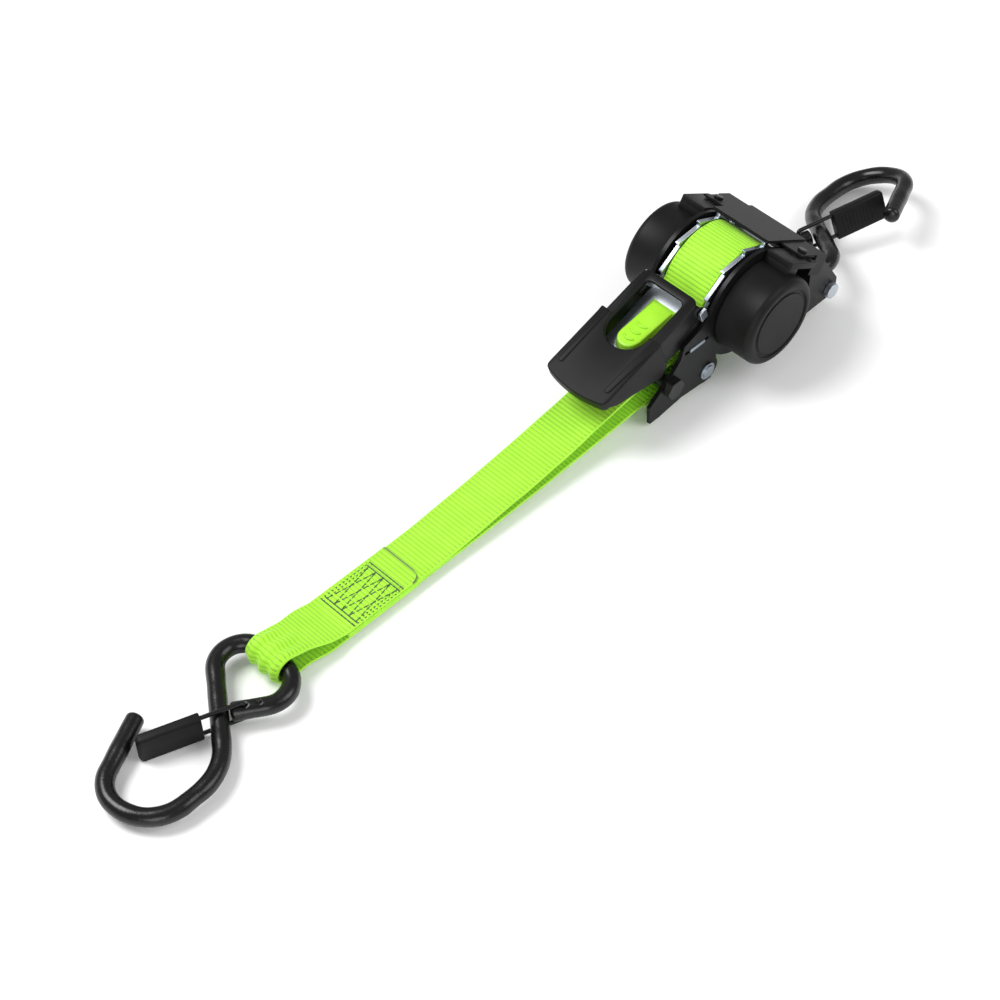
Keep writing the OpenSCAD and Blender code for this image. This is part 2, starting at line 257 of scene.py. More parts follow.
@dataclass(frozen=True)
class WovenFinish:
    """Neon polyester webbing: ribs across, yarns along, with painted shade in the rib grooves and along the
    cut end.
    """

    name: str = "neon_webbing"
    slot: Slot = Slot.WEBBING
    yarn: tuple = linear(160, 226, 42)
    shade: tuple = linear(152, 218, 34)
    # Painted shade: the darker green laid into the rib grooves.
    groove: tuple = linear(122, 180, 30)
    # Painted shade: a dark grey line along the flap's cut end and its rounded corner.
    sealed: tuple = linear(92, 104, 70)
    waves: tuple = ((math.pi / 2, 1.6, 0.00006), (0.0, 0.75, 0.00004))

    def make(self) -> bpy.types.Material:
        """Builds the material. The painted shade in the grooves and along the cut end comes from the mesh's
        own marks, and yarns from its UV map.

        Returns:
            The material.
        """
        n = Nodes(self.name)
        cloth = n.add("ShaderNodeUVMap", uv_map="cloth").outputs["UV"]
        here = n.add("ShaderNodeTexCoord").outputs["Object"]
        tone = n.ramp(n.noise(here, 90), self.shade, self.yarn, 0.3, 0.6)
        # Painted shade: each mark darkens the colour, in the grooves and along the flap's cut end.
        for mark, colour in (("groove", self.groove), ("sealed", self.sealed)):
            reader = n.add("ShaderNodeAttribute", attribute_name=mark)
            mix = n.add("ShaderNodeMix", data_type="RGBA")
            factor, first, second = mix.inputs[0], mix.inputs[6], mix.inputs[7]
            n.link(reader.outputs["Fac"], factor)
            n.link(tone, first)
            second.default_value = colour
            tone = mix.outputs[2]
        n.link(tone, n.shader.inputs["Base Color"])
        normal = None
        for turn, count, depth in self.waves:
            across = n.feed(cloth, "Vector", "ShaderNodeMapping", "Vector", Rotation=(0, 0, turn))
            grain = {"Scale": count, "Distortion": 0.6, "Detail": 1.0}
            wave = n.feed(across, "Vector", "ShaderNodeTexWave", "Fac", **grain)
            normal = n.bump(wave, 0.5, depth, normal)
        n.link(n.bump(n.noise(here, 2600), 0.4, 0.00004, normal), n.shader.inputs["Normal"])
        n.link(n.spread(n.noise(here, 700), 0.55, 0.8), n.shader.inputs["Roughness"])
        n.settle(n.shader, Sheen_Weight=0.15, Sheen_Roughness=0.5)
        return n.material


AnyFinish = Finish | WovenFinish

MOULDED = Finish("moulded_black", Slot.PLASTIC, grey(15), grey(21), (0.4, 0.52), 60, 2600, 3e-5, shine=0.14)
PAINTED = Finish(
    "satin_black_paint", Slot.STEEL, linear(13, 13, 14), linear(19, 19, 20), (0.28, 0.4), 70, 1100, 2e-5,
    shine=0.16,
)
DIPPED = Finish(
    "black_vinyl_dip", Slot.ROD, grey(8), grey(14), (0.18, 0.34), 90, 700, 9e-5, swell=3e-4, shine=0.36
)
COATED = Finish("coated_wire", Slot.WIRE, grey(10), grey(18), (0.25, 0.4), 120, 1500, 3e-5, shine=0.3)
PLATED = Finish(
    "bright_zinc", Slot.ZINC, linear(160, 170, 180), linear(206, 212, 218), (0.32, 0.4), 40, 900, 3e-6,
    metallic=1.0,
)
OXIDE = Finish(
    "black_oxide", Slot.BOLT, linear(14, 14, 15), linear(24, 24, 25), (0.3, 0.45), 150, 1600, 2e-5,
    shine=0.35,
)
SPRUNG = Finish(
    "spring_steel", Slot.SPRING, linear(110, 114, 120), linear(150, 154, 158), (0.22, 0.36), 150, 1500, 1e-5,
    metallic=1.0,
)
LIMEY = Finish(
    "lime_plastic", Slot.LIME, linear(150, 214, 38), linear(162, 224, 52), (0.28, 0.4), 80, 1400, 2e-5,
    shine=0.4,
)
THREAD = Finish(
    "grey_thread", Slot.WEBBING, linear(66, 84, 62), linear(90, 108, 84), (0.7, 0.85), 500, 5200, 4e-5,
    shine=0.2,
)
FLOORING = Finish("pale_floor", None, grey(248), grey(252), (0.6, 0.7), 3, 120, 1e-5)
WOVEN = WovenFinish()


# ---- Places
def turned(axis: str, degrees: float) -> Array:
    """A turn about one axis by the right-hand rule.

    Args:
        axis: "x", "y" or "z".
        degrees: how far.

    Returns:
        The 3 by 3 matrix.
    """
    c, s = math.cos(math.radians(degrees)), math.sin(math.radians(degrees))
    return {
        "x": np.array([[1, 0, 0], [0, c, -s], [0, s, c]]),
        "y": np.array([[c, 0, s], [0, 1, 0], [-s, 0, c]]),
        "z": np.array([[c, -s, 0], [s, c, 0], [0, 0, 1]]),
    }[axis]


@dataclass(frozen=True)
class Place:
    """Axes and an origin in millimetres from the middle of the drum."""

    axes: Array
    origin: Array

    def out(self, points: Array) -> Array:
        """Moves points from this place to the drum's frame."""
        return points @ self.axes.T + self.origin

    def within(self, other: "Place") -> "Place":
        """This place, itself set inside another."""
        return Place(other.axes @ self.axes, other.out(self.origin))


AT_HANDLE = Place(turned("y", -17.8), np.zeros(3))
AT_COVER = Place(turned("y", 32.1), np.zeros(3))
AT_FRONT = Place(turned("y", -1.75), np.array([-283.8, -0.9, GROUND + 7.3]))
AT_REAR = Place(turned("z", 180) @ turned("x", 24), np.array([42.3, -5.8, -18.3]))


# ---- Surfaces
@dataclass
class Skin:
    """Vertices in millimetres, faces, and marks that a material reads."""

    points: Array
    faces: list
    marks: dict = field(default_factory=dict)

    def outward(self) -> "Skin":
        """The same closed skin with its faces looking outwards.

        The signed volume of the fans from each face's first corner says which way they look.

        Returns:
            This skin, its faces turned round if they looked inwards.
        """
        fans = np.array([(f[0], f[i], f[i + 1]) for f in self.faces for i in range(1, len(f) - 1)])
        a, b, c = (self.points[fans[:, k]] for k in range(3))
        if (a * np.cross(b, c)).sum() < 0:
            self.faces = [tuple(reversed(f)) for f in self.faces]
        return self

    def placed(self, place: Place) -> "Skin":
        """The skin moved out of a place."""
        return Skin(place.out(self.points), self.faces, self.marks)


def joined(*skins: Skin) -> Skin:
    """Several skins as one.

    Args:
        skins: closed skins in one frame.

    Returns:
        One skin with all their faces.
    """
    starts = np.cumsum([0] + [len(s.points) for s in skins])
    faces = [tuple(i + int(start) for i in f) for s, start in zip(skins, starts) for f in s.faces]
    return Skin(np.vstack([s.points for s in skins]), faces)


def sheathed(rows: Array, capped: bool = True) -> Skin:
    """The skin through a grid of closed rings.

    Args:
        rows: rings by points by 3.
        capped: close the first and last ring with a face.

    Returns:
        The skin, looking outwards.
    """
    count, ring = rows.shape[:2]
    a, b = np.arange(count - 1)[:, None], np.arange(ring)[None, :]
    at = lambda i, j: i * ring + j % ring
    quads = np.stack([at(a, b), at(a, b + 1), at(a + 1, b + 1), at(a + 1, b)], -1).reshape(-1, 4)
    faces = [tuple(q) for q in quads.tolist()]
    if capped:
        faces.append(tuple(range(ring))[::-1])
        faces.append(tuple(range((count - 1) * ring, count * ring)))
    return Skin(rows.reshape(-1, 3), faces).outward()


def arc(centre: tuple, radius: float, start: float, end: float, step: float = 0.6) -> Array:
    """Points round part of a circle.

    Args:
        centre: its middle.
        radius: its radius.
        start: first angle in degrees.
        end: last angle in degrees.
        step: rough distance between points.

    Returns:
        The points, n by 2.
    """
    count = max(4, int(abs(math.radians(end - start)) * radius / step) + 1)
    a = np.radians(np.linspace(start, end, count))
    return np.column_stack([centre[0] + radius * np.cos(a), centre[1] + radius * np.sin(a)])


def eased(corners: list, radii: list, step: float = 0.5) -> Array:
    """An outline with its corners rounded off.

    Each corner's arc touches both sides at radius / tan(half its angle) from the corner.

    Args:
        corners: the outline's corners.
        radii: a radius for each, 0 for a sharp one.
        step: rough distance between points on an arc.

    Returns:
        The outline, n by 2.
    """
    out = []
    p = [np.array(c, float) for c in corners]
    for i, (here, r) in enumerate(zip(p, radii)):
        back, on = p[i - 1] - here, p[(i + 1) % len(p)] - here
        back, on = back / np.linalg.norm(back), on / np.linalg.norm(on)
        half = math.acos(float(np.clip(back @ on, -1, 1))) / 2
        if r <= 0 or half > math.pi / 2 - 0.01:
            out.append(here[None])
            continue
        middle = (back + on) / np.linalg.norm(back + on)
        centre = here + middle * r / math.sin(half)
        first, last = here + back * r / math.tan(half) - centre, here + on * r / math.tan(half) - centre
        a0 = math.atan2(first[1], first[0])
        sweep = (math.atan2(last[1], last[0]) - a0 + math.pi) % (2 * math.pi) - math.pi
        out.append(arc(tuple(centre), r, math.degrees(a0), math.degrees(a0 + sweep), step))
    return np.vstack(out)


def oblong(x: tuple, y: tuple, radii: list, step: float = 0.5) -> Array:
    """A rectangle as an outline with rounded corners, from its two ends along each axis."""
    return eased([(x[0], y[0]), (x[1], y[0]), (x[1], y[1]), (x[0], y[1])], radii, step)


def all_round(sides: int) -> Array:
    """Angles an even step apart round a full turn."""
    return np.linspace(0, 2 * np.pi, sides, endpoint=False)


def disc(x: float, y: float, radius: float, sides: int = 36) -> Array:
    """A circle as an outline."""
    a = all_round(sides)
    return np.column_stack([x + radius * np.cos(a), y + radius * np.sin(a)])


def toward(degrees: float) -> Array:
    """The unit direction at an angle."""
    return np.array([math.cos(math.radians(degrees)), math.sin(math.radians(degrees))])


def heading(path: Array) -> Array:
    """The unit direction of a polyline at each of its points."""
    way = np.gradient(path, axis=0)
    return way / np.linalg.norm(way, axis=1)[:, None]


def length_along(path: Array) -> Array:
    """The distance along a polyline at each of its points."""
    return np.concatenate([[0], np.cumsum(np.linalg.norm(np.diff(path, axis=0), axis=1))])


def even(path: Array, step: float, soften: float = 0.0) -> Array:
    """A polyline as points an even step apart, its kinks eased by a running mean.

    Args:
        path: the polyline.
        step: distance between points.
        soften: length of the running mean, 0 for none.

    Returns:
        The points.
    """
    path = path[np.concatenate([[True], np.linalg.norm(np.diff(path, axis=0), axis=1) > 1e-6])]
    run = length_along(path)
    at = np.linspace(0, run[-1], max(int(round(run[-1] / step)), 2) + 1)
    line = np.column_stack([np.interp(at, run, c) for c in path.T])
    reach = int(soften / at[1]) // 2
    if reach:
        more = np.arange(1, reach + 1)[:, None]
        before = (line[0] + (line[0] - line[1]) * more)[::-1]
        after = line[-1] + (line[-1] - line[-2]) * more
        wide = np.vstack([before, line, after])
        weight = np.hanning(2 * reach + 3)[1:-1]
        line = np.column_stack([np.convolve(c, weight / weight.sum(), "valid") for c in wide.T])
    return line


def rod(path: Array, up: Array, radius: Array, sides: int = 28, round_ends: tuple = (1.0, 1.0)) -> Skin:
    """A round rod along a path.

    point = path + radius * (cos a * side + sin a * up), with side square to the path and to up. Each end runs
    on as a dome.

    Args:
        path: its centreline, n by 3.
        up: a direction square to the path, one for all or one for each point.
        radius: one number, or one for each point.
        sides: points round it.
        round_ends: how far each end bulges, as a share of its radius.

    Returns:
        The rod's skin.
    """
    tangent = heading(path)
    up = np.broadcast_to(up, path.shape)
    radius = np.broadcast_to(radius, len(path)).astype(float)
    dome = np.radians(np.array([78.0, 60, 40, 20]))
    parts = []
    for end, bulge in ((0, round_ends[0]), (-1, round_ends[1])):
        way = tangent[end] * (1 if end else -1)
        centres = path[end] + way * radius[end] * bulge * np.sin(dome)[:, None]
        parts.append((centres, radius[end] * np.cos(dome)))
    path = np.vstack([parts[0][0], path, parts[1][0][::-1]])
    radius = np.concatenate([parts[0][1], radius, parts[1][1][::-1]])
    pad = lambda v: np.vstack([np.repeat(v[:1], len(dome), 0), v, np.repeat(v[-1:], len(dome), 0)])
    tangent, up = pad(tangent), pad(up)
    side = np.cross(up, tangent)
    side /= np.linalg.norm(side, axis=1)[:, None]
    up = np.cross(tangent, side)
    a = all_round(sides)
    ring = np.cos(a)[None, :, None] * side[:, None] + np.sin(a)[None, :, None] * up[:, None]
    return sheathed(path[:, None] + radius[:, None, None] * ring)


def spun(profile: Array, sides: int) -> Skin:
    """A profile of (radius, height) turned round the Z axis in so many steps."""
    a = all_round(sides)
    r, z = profile[:, :1], profile[:, 1:]
    return sheathed(np.stack([r * np.cos(a), r * np.sin(a), z + 0 * a], -1))


def slab(outline: Array, low: float, high: float, edge: float, holes: tuple = (), steps: int = 3) -> Skin:
    """A flat slab whose rims are rounded.

    Each rim is a quarter circle: the outline moves in by edge * (1 - sin a) as the height leaves the face by
    edge * (1 - cos a). Outline and holes turn opposite ways, so that "in" is into the material for both.

    Args:
        outline: its plan, n by 2.
        low: height of one face.
        high: height of the other.
        edge: radius of the rims.
        holes: plans of the holes.
        steps: points on a rim's quarter circle, less one.

    Returns:
        The slab's skin, with its height along Z.
    """
    area = lambda p: float((p[:, 0] * np.roll(p[:, 1], -1) - p[:, 1] * np.roll(p[:, 0], -1)).sum())
    loops = [outline if area(outline) > 0 else outline[::-1]]
    loops += [h if area(h) < 0 else h[::-1] for h in holes]
    a = np.radians(np.linspace(0, 90, steps + 1))
    inset = edge * (1 - np.sin(a))
    drop = edge * (1 - np.cos(a))
    inset, height = np.concatenate([inset, inset[::-1]]), np.concatenate([low + drop, high - drop[::-1]])
    points, faces, starts, caps, total = [], [], [], [], 0
    for loop in loops:
        # The mitre keeps every side's inset even, and is held back at very sharp corners.
        ahead = np.roll(loop, -1, 0) - loop
        ahead /= np.linalg.norm(ahead, axis=1)[:, None]
        left = np.column_stack([-ahead[:, 1], ahead[:, 0]])
        before = np.roll(left, 1, 0)
        mitre = (left + before) / np.maximum(1 + (left * before).sum(1), 0.4)[:, None]
        rows = loop[None] + inset[:, None, None] * mitre[None]
        rows = np.concatenate([rows, np.broadcast_to(height[:, None, None], (*rows.shape[:2], 1))], -1)
        points.append(rows.reshape(-1, 3))
        faces.append([tuple(i + total for i in f) for f in sheathed(rows, capped=False).faces])
        starts.append(total)
        caps.append([Vector((*p[:2], 0)) for p in rows[0]])
        total += len(points[-1])
    flat = [(start, i, len(loop)) for start, loop in zip(starts, loops) for i in range(len(loop))]
    bottom = [start + i for start, i, _ in flat]
    top = [start + (len(height) - 1) * count + i for start, i, count in flat]
    corners = np.array([tuple(v)[:2] for loop in caps for v in loop])
    up_faces, down_faces = [], []
    for t in tessellate_polygon(caps):
        (ax, ay), (bx, by) = corners[t[1]] - corners[t[0]], corners[t[2]] - corners[t[0]]
        if ax * by < ay * bx:
            t = t[::-1]
        up_faces.append(tuple(top[i] for i in t))
        down_faces.append(tuple(bottom[i] for i in t[::-1]))
    walls = []
    everything = np.vstack(points)
    for loop, quads in zip(loops, faces):
        a, b, c, _ = everything[list(quads[(len(height) // 2 - 1) * len(loop)])]
        ahead = loop[1] - loop[0]
        outward = np.cross(b - a, c - b)[:2] @ np.array([ahead[1], -ahead[0]]) > 0
        walls += quads if outward else [f[::-1] for f in quads]
    return Skin(everything, walls + up_faces + down_faces)


def upright(skin: Skin) -> Skin:
    """Stands a slab's plan in X and Z, with its height along Y."""
    return Skin(skin.points[:, [0, 2, 1]], [f[::-1] for f in skin.faces])


# ---- Pieces
def linked(name: str, data: object) -> bpy.types.Object:
    """A new object in the scene that holds a mesh, a lamp or a camera."""
    obj = bpy.data.objects.new(name, data)
    bpy.context.scene.collection.objects.link(obj)
    return obj


def look(eye: tuple, aim: tuple) -> Euler:
    """The turn that points a lamp or camera at eye towards aim."""
    return (Vector(aim) - Vector(eye)).to_track_quat("-Z", "Y").to_euler()


class Bench:
    """Turns skins into finished pieces, and dresses the CAD's own."""

    made: dict = {}

    @classmethod
    def finish(cls, kind: AnyFinish) -> bpy.types.Material:
        """The material of a finish, made once."""
        if kind.name not in cls.made:
            cls.made[kind.name] = kind.make()
        return cls.made[kind.name]

    @classmethod
    def shown(
        cls, mesh: bpy.types.Mesh, kind: AnyFinish, body: str, nodes: tuple, sharp: float
    ) -> bpy.types.Object:
        """Smooths and dresses a mesh, and gives it its body and the nodes it stands for.

        Args:
            mesh: the piece's mesh, whose name the piece takes.
            kind: its finish.
            body: the body it rides on.
            nodes: CAD nodes it stands for.
            sharp: edges sharper than this many degrees stay crisp.

        Returns:
            The piece.
        """
        mesh.polygons.foreach_set("use_smooth", np.ones(len(mesh.polygons), bool))
        mesh.set_sharp_from_angle(angle=math.radians(sharp))
        mesh.materials.append(cls.finish(kind))
        obj = linked(mesh.name, mesh)
        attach(obj, body)
        if nodes:
            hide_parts(*nodes)
        LOG.info("%s: %d faces on %s", obj.name, len(mesh.polygons), body)
        return obj

    @classmethod
    def piece(
        cls, name: str, skin: Skin, kind: AnyFinish, body: str, *nodes: str, sharp: float = 38
    ) -> bpy.types.Object:
        """Makes one piece from a skin.

        Args:
            name: the piece's name.
            skin: its surface, in millimetres from the middle of the drum.
            kind: its finish.
            body: the body it rides on.
            nodes: CAD nodes it stands for.
            sharp: edges sharper than this many degrees stay crisp.

        Returns:
            The piece.
        """
        mesh = bpy.data.meshes.new(name)
        mesh.from_pydata((skin.points * MM + DRUM).tolist(), [], skin.faces)
        corners = np.empty(len(mesh.loops), np.int32)
        mesh.loops.foreach_get("vertex_index", corners)
        for mark, values in skin.marks.items():
            values = values.astype(np.float32)
            if mark == "cloth":
                mesh.uv_layers.new(name=mark).data.foreach_set("uv", values[corners].ravel())
            else:
                mesh.attributes.new(mark, "FLOAT", "POINT").data.foreach_set("value", values)
        return cls.shown(mesh, kind, body, nodes, sharp)

    @classmethod
    def eased_copy(cls, node: str, kind: AnyFinish, body: str, edge: float, corner: float = 40) -> None:
        """Makes a copy of a CAD node, merged and with its sharp edges rounded, to stand for it.

        Args:
            node: the CAD node.
            kind: its finish.
            body: the body it rides on.
            edge: radius of its edges in millimetres.
            corner: edges sharper than this many degrees are rounded.
        """
        merge, level = 1e-6, math.radians(0.6)
        work = bmesh.new()
        work.from_mesh(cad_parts[node].data)
        bmesh.ops.remove_doubles(work, verts=work.verts, dist=merge)
        bmesh.ops.dissolve_limit(work, angle_limit=level, verts=work.verts, edges=work.edges)
        mesh = bpy.data.meshes.new(node + "_eased")
        work.to_mesh(mesh)
        work.free()
        bevel = cls.shown(mesh, kind, body, (node,), corner).modifiers.new("edges", "BEVEL")
        bevel.width, bevel.segments, bevel.limit_method = edge * MM, 2, "ANGLE"
        bevel.angle_limit = math.radians(corner)
        bevel.harden_normals = True

    @classmethod
    def dress(cls, node: str, kind: AnyFinish) -> None:
        """Gives a CAD node that stays in view a better finish."""
        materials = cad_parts[node].data.materials
        materials.clear()
        materials.append(cls.finish(kind))
        LOG.info("%s: dressed in %s", node, kind.name)


# ---- Webbing
@dataclass(frozen=True)
class Weave:
    """How the webbing is woven, in millimetres."""

    width: float = 25.0
    thick: float = 1.3
    pitch: float = 2.15
    depth: float = 0.22
    groove: float = 0.15

    def strip(
        self, path: Array, low: Array, high: Array, fine: int, wave: object = None, sealed: object = None
    ) -> Skin:
        """A band along an X-Z path, ribbed across, with plain cords along its two edges.

        point = path + normal * (side * (thick / 2 - depth * groove) + wave), with y from low to high. A
        groove comes once each pitch: exp(-((phase - 0.5) / width) ** 2), deepest just inside the edge cords.

        Args:
            path: the middle of the band, n by 2.
            low: lowest y at each point.
            high: highest y at each point.
            fine: points across one side.
            wave: function of distance along and y that lifts the band along its normal.
            sealed: function of distance along and y, 1 where shade is painted along the end.

        Returns:
            The closed band with its cloth mark, and its groove and sealed marks, which paint shade into the
            grooves and along the cut end.
        """
        tangent, run = heading(path), length_along(path)[:, None]
        r = self.thick / 2
        flat, bend = np.sin(np.linspace(-np.pi / 2, np.pi / 2, fine)), np.radians([30, 60, 90, 120, 150])
        one = np.ones(len(bend))
        across = np.concatenate([flat, one, flat[::-1], -one])
        out = np.concatenate([0 * flat, r * np.sin(bend), 0 * flat, -r * np.sin(bend)])
        side = np.concatenate([0 * flat + 1, np.cos(bend), 0 * flat - 1, -np.cos(bend)])
        low, high = np.broadcast_to(low, len(path))[:, None], np.broadcast_to(high, len(path))[:, None]
        y = (low + high) / 2 + ((high - low) / 2 - r) * across + out
        inside = np.minimum(y - low, high - y)
        reach = np.interp(inside, [0.25, 0.6, 0.9, 1.8, 2.4], [0.0, 0.3, 1.3, 1.3, 0.85])
        groove = np.exp(-(((run / self.pitch) % 1 - 0.5) / self.groove) ** 2) * reach
        off = side * (r - self.depth * groove) + (wave(run, y) if wave else 0)
        rows = np.stack([path[:, :1] - tangent[:, 1:] * off, y, path[:, 1:] + tangent[:, :1] * off], -1)
        skin = sheathed(rows)
        cloth = np.stack([run / self.pitch + 0 * y, y / self.pitch], -1).reshape(-1, 2)
        ends = (sealed(run, y) if sealed else 0) + 0 * y
        # The groove mark paints shade into the grooves, and the end mark paints shade along the flap's cut
        # end.
        skin.marks = {"cloth": cloth, "groove": np.clip(groove, 0, 1).ravel(), "sealed": ends.ravel()}
        return skin


@dataclass
class Straps:
    """The webbing on the drum, its two legs, and the sewn loop round the front hook."""

    weave: Weave = Weave()
    coil_r: float = 25.4
    bore_r: float = 7.6
    wound_half: float = 0.66
    wound_thick: float = 1.22
    last_turn: float = -40
    turn_gap: float = 0.3
    drop_r: float = 14.0
    guide_x: float = -52.2
    anchor: tuple = (-26.3, -26.6)
    anchor_r: float = 3.7
    bar: tuple = (-283.8, -26.8)
    bar_r: float = 6.65
    patch: tuple = (-206.8, -251.0)
    bar_half: float = 10.2
    loop_half: float = 12.2
    corner_r: float = 5.5
    lobe: float = 6.8
    box: tuple = (-217.6, -246.8, -10.8, 8.9)

    def lay(self, layer: int) -> float:
        """Height of the middle of a layer that lies flat, counted from the lowest."""
        return GROUND + self.weave.thick * (layer + 0.5)

    def over_patch(self, layer: int) -> list:
        """The middle line of a layer across the sewn patch."""
        return [(x, self.lay(layer)) for x in self.patch]

    def coil(self) -> None:
        """The webbing wound on the drum: r grows by one thickness each turn."""
        first, last = self.bore_r + self.wound_half, self.coil_r - self.wound_half
        turns, steps_each = round((last - first) / self.weave.thick), 110
        a = np.radians(np.linspace(self.last_turn - 360 * turns, self.last_turn, turns * steps_each))
        r = np.linspace(first, last, len(a))
        path = even(np.column_stack([r * np.cos(a), r * np.sin(a)]), 0.9)
        half = self.weave.width / 2 - 0.1
        skin = Weave(thick=self.wound_thick, depth=0.0).strip(path, -half, half, 10)
        self.declare("drum_webbing", skin, "drum", "webbing_coil")

    def upper(self) -> None:
        """The outer turn, the drop before the drum, the run over the guide bolt and down to the patch."""
        turn = self.coil_r + self.turn_gap + self.weave.thick / 2
        drop = (-turn - self.drop_r, 0.2)
        over = drop[1] - self.drop_r
        path = np.vstack([
            arc((0, 0), turn, self.last_turn, 179),
            arc(drop, self.drop_r, 0, -88),
            [(-46, over), (self.guide_x, over + 0.1), (-57, over - 0.1), (-70, over - 1.8)],
            [(-90, over - 5.2), (-115, over - 9.4), (-140, over - 12.4), (-165, over - 14.6)],
            [(-190, self.lay(2) + 0.25)],
            self.over_patch(2),
        ])
        path = even(path, self.weave.pitch / 8, 5)
        free = lambda run: np.clip((run - 150) / 40, 0, 1) * np.clip((265 - run) / 40, 0, 1)
        wave = lambda run, y: free(run) * (0.25 * np.sin(run / 13 + y / 9) + 0.12 * np.sin(run / 5.1 - y / 6))
        half, rests = self.weave.width / 2, ("guide_bolt_eased", "lower_webbing")
        skin = self.weave.strip(path, -half, half, 22, wave)
        self.declare("upper_webbing", skin, "frame", "upper_leg")

    def lower(self) -> None:
        """The leg along the ground, turned back round the anchor with its sewn tail."""
        x, z = self.anchor
        r = self.anchor_r + self.weave.thick / 2
        path = np.vstack([
            [(-62, z - 2.8), (-45, z - 3.8)],
            arc((x, z), r, -92, 98),
            [(-45, z + 0.6), (-62, z - 1.4), (-95, -29.8), (-130, -31.4), (-165, self.lay(1) + 0.1)],
            self.over_patch(1),
        ])
        path = even(path, self.weave.pitch / 8, 1.5)
        half = self.weave.width / 2
        skin = self.weave.strip(path, -half, half, 18)
        self.declare("lower_webbing", skin, "frame", "lower_leg")

    def loop(self) -> None:
        """The loop round the hook's bar, gathered into lobes there, with a rounded flap end on the patch."""
        bx, bz = self.bar
        first, last = self.patch
        path = np.vstack([
            [(first - 2, self.lay(0)), (bx + 6, self.lay(0))],
            arc((bx, bz), self.bar_r, 270, 78),
            [(last - 8, self.lay(3) + 2.1), (last - 1, self.lay(3) + 0.15), (first, self.lay(3))],
        ])
        path = even(path, self.weave.pitch / 8, 2)
        total = length_along(path)
        near = np.clip((last - 8 - path[:, 0]) / 14, 0, 1)
        half = self.loop_half + (self.bar_half - self.loop_half) * near * near * (3 - 2 * near)
        corner = np.clip(self.corner_r - (total[-1] - total), 0, None)
        cut = self.corner_r - np.sqrt(np.clip(self.corner_r**2 - corner**2, 0.01, None))
        ring = np.clip((bx + 16 - path[:, 0]) / 16, 0, 1) * np.clip((path[:, 1] - bz + 7) / 4, 0, 1)

        def wave(run: Array, y: Array) -> Array:
            """Lobes across the gathered part: height * cos(2 pi y / lobe), a little uneven."""
            lobes = 0.85 * np.cos(2 * np.pi * (y + 0.7) / self.lobe)
            return np.interp(run, total, ring) * (0.3 + lobes + 0.25 * np.sin(y / 2.1 + run / 4))

        def sealed(run: Array, y: Array) -> Array:
            """Painted shade: 1 along the flap's cut end and its rounded corner."""
            left, edge = total[-1] - run, np.interp(run, total, self.loop_half - cut)
            return np.clip(1.9 - left / 0.5, 0, 1) + ((run > total[-1] - 5.4) & (y < -edge + 0.45))

        skin = self.weave.strip(path, -half + cut, half, 30, wave, sealed)
        self.declare("hook_loop_webbing", skin, "frame", "hook_loop")

    def stitching(self) -> None:
        """The box stitch: double rows at both ends, four crosses, and dotted rows down both edges."""
        x0, x1, y0, y1 = self.box
        rows = [(x, y0 - 0.5, x, y1 + 0.5) for x in (x0, x0 - 2.0, x1, x1 + 2.0)]
        at = lambda k: y0 + 0.6 + (y1 - y0 - 1.2) * k / 4
        crosses = [(x0 - 2, at(k + i), x1 + 2, at(k + 1 - i)) for i in (0, 1) for k in range(4)]
        dots = [(x0 + 1, y, x1 - 1, y) for y in (y0 - 0.7, y0 + 0.8, y1 + 0.9, y1 - 0.6)]
        tail = [(-50 - 3 * k, -9, -50 - 3 * k, 9) for k in range(3)]
        seams = ((rows, 2.3, 2.28, 0.34), (crosses, 3.3, 3.28, 0.25), (dots, 2.15, 1.0, 0.25))
        skins = []
        for lines, pitch, long, thread in seams:
            skins.append(self.sewn(lines, pitch, long, self.lay(3) + 0.68, 0.16, thread))
            skins.append(self.sewn(lines, pitch, long, self.lay(0) - 0.5, -0.02, 0.24))
        skins.append(self.sewn(tail, 2.0, 1.8, -26.95, 0.2, 0.3))
        Bench.piece("box_stitch", joined(*skins), THREAD, "frame")

    @staticmethod
    def sewn(lines: list, pitch: float, long: float, height: float, rise: float, radius: float) -> Skin:
        """Stitches along straight lines, each a short thread that arches out of the cloth and dives back.

        At a share t along a stitch its height is rise * sin(pi t), less a short dip at both ends.

        Args:
            lines: (x, y, x, y) of each seam.
            pitch: distance from stitch to stitch.
            long: length of one stitch.
            height: height of the cloth's face.
            rise: how far the middle of a stitch stands off it.
            radius: the thread's.

        Returns:
            All the stitches.
        """
        starts, ways = [], []
        for x0, y0, x1, y1 in lines:
            span = math.hypot(x1 - x0, y1 - y0)
            way = np.array([(x1 - x0) / span, (y1 - y0) / span])
            count = max(int(span / pitch), 1)
            at = (np.arange(count) + 0.5) * span / count - long / 2
            starts.append(np.array([x0, y0]) + at[:, None] * way)
            ways.append(np.repeat(way[None], count, 0))
        start, way = np.vstack(starts)[:, None, None], np.vstack(ways)[:, None, None]
        t = np.linspace(0, 1, 10)[None, :, None, None]
        a = all_round(6)[None, None, :, None]
        thick = radius * (1 - 0.4 * np.abs(2 * t - 1) ** 9)
        square = np.stack([-way[..., 1], way[..., 0]], -1)
        plan = start + way * (t * long) + square * (thick * np.cos(a))
        dip = 0.08 * np.abs(2 * t - 1) ** 8 * np.sign(rise)
        z = height + rise * np.sin(np.pi * t) + thick * np.sin(a) - dip
        rows = np.concatenate([plan, z + 0 * plan[..., :1]], -1)
        one = sheathed(rows[0])
        faces = [tuple(i + k * len(one.points) for i in f) for k in range(len(rows)) for f in one.faces]
        return Skin(rows.reshape(-1, 3), faces)

